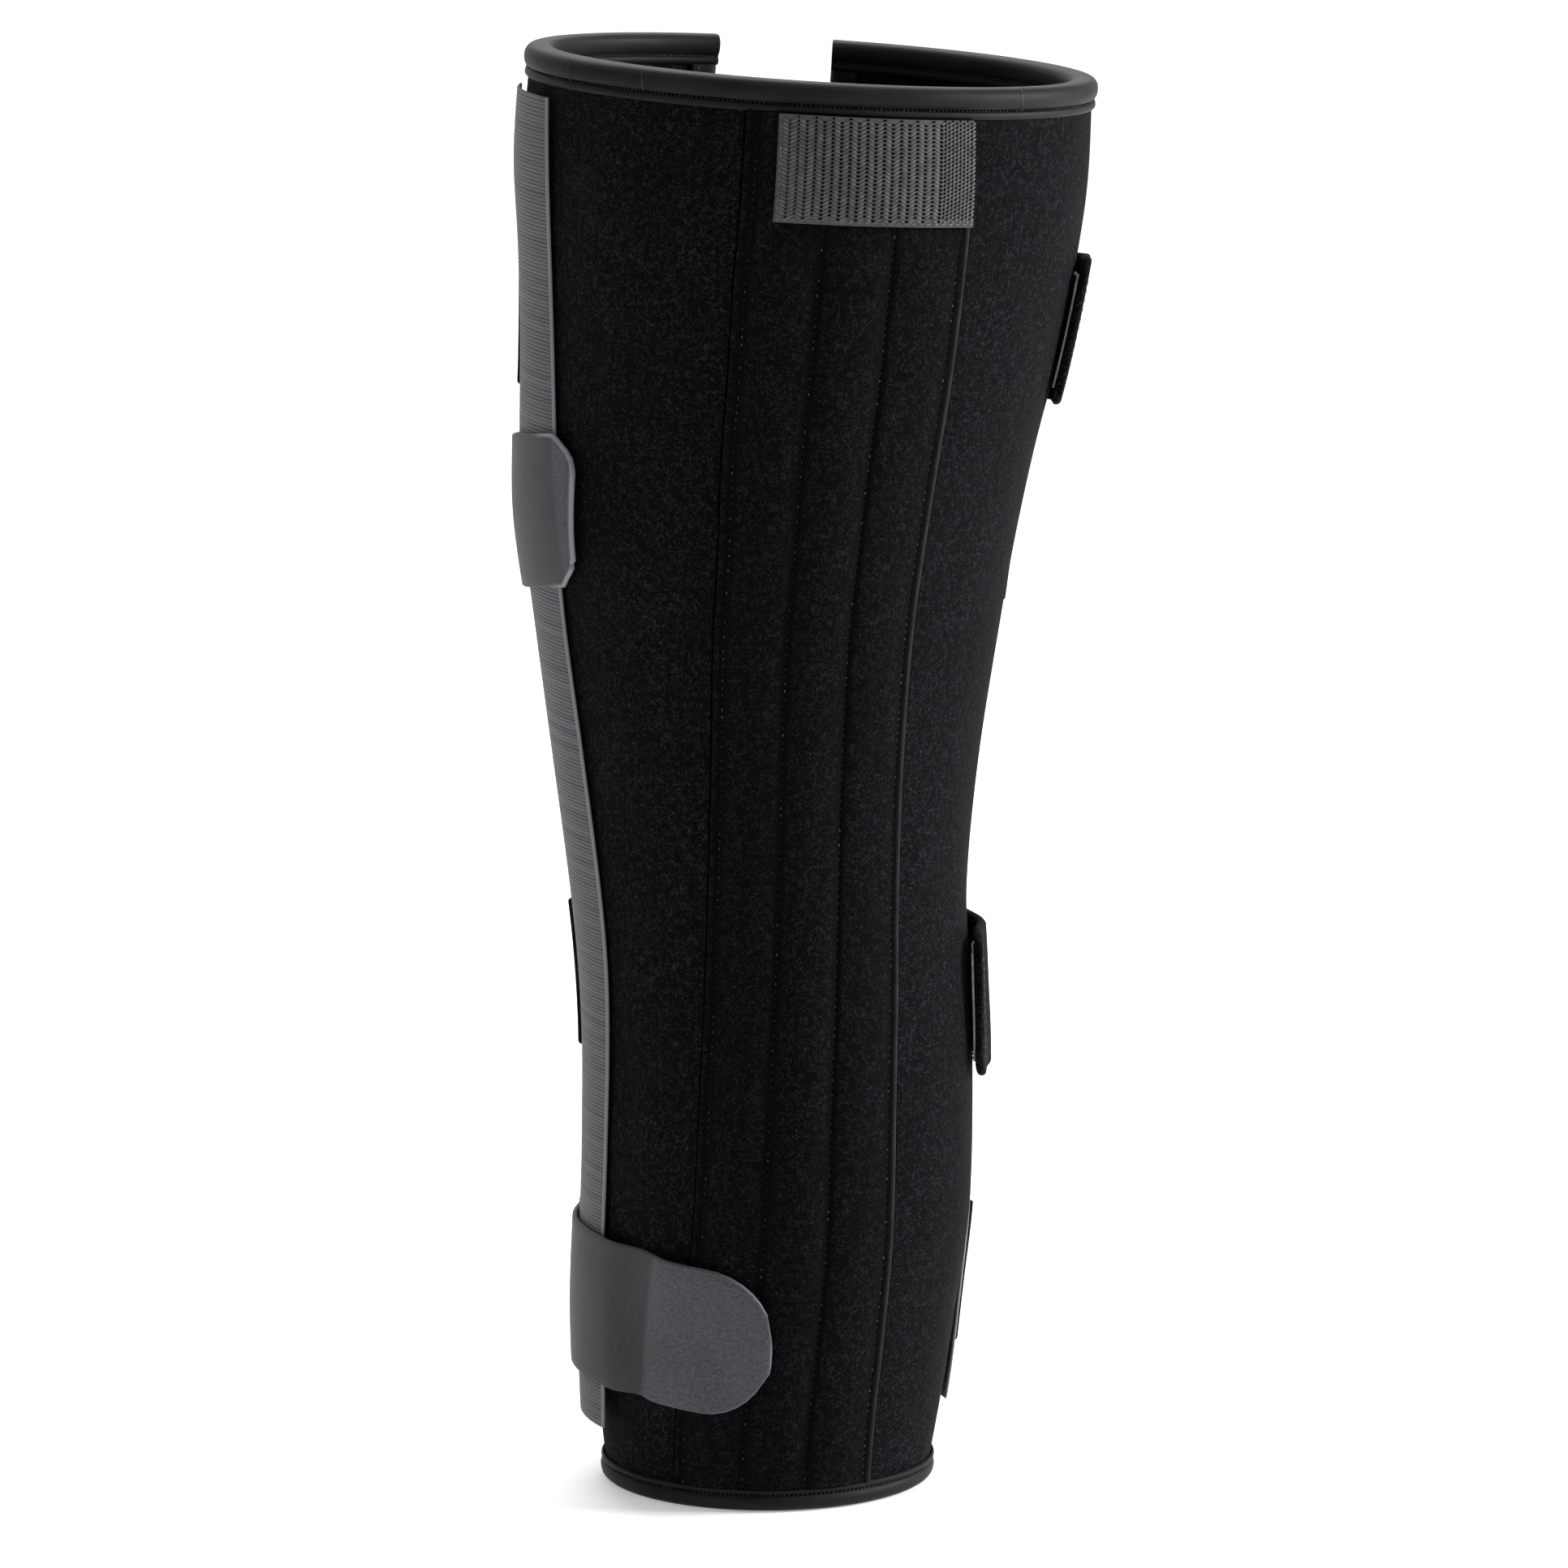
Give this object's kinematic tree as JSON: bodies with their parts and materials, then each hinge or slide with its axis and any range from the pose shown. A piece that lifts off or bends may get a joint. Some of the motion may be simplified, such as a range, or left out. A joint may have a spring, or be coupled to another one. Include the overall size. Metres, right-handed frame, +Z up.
{
  "type": "knee immobilizer",
  "caption": "Tall foam wrap for a straight leg, with a sewn stay panel up the back, bound edges, side strips and straps across its open front",
  "frame": {"origin": "under the middle of the whole brace, on the surface that its bottom rim stands on", "axes": "+Z up the leg, -Y toward the back of the knee, +X to the right as seen from behind"},
  "size_m": [0.1968, 0.18, 0.4915],
  "materials": {
    "foam_laminate": "matt black looped pile over foam",
    "panel_pile": "matt black looped pile, sewn in channels",
    "binding": "smooth charcoal bias tape, satin",
    "hook_patch": "grey hook tape in rows of chevrons",
    "ribbed_strip": "grey tape with fine cross ribs",
    "strap": "black napped webbing",
    "hook_tape": "light grey hook tape",
    "end_tab": "smooth grey hook-backed tab"
  },
  "bodies": {
    "root": {"wrap_body": "foam_laminate", "top_binding": "binding", "bottom_binding": "binding", "front_binding_left": "binding", "front_binding_right": "binding", "stay_pocket_panel": "panel_pile", "hook_patch": "hook_patch", "side_strip_left": "ribbed_strip", "side_strip_right": "ribbed_strip", "strap_1": "strap", "hook_tape_1": "hook_tape", "strap_3": "strap", "hook_tape_3": "hook_tape", "strap_2": "strap", "end_tab_2": "end_tab", "strap_4": "strap", "end_tab_4": "end_tab"}
  },
  "joints": []
}
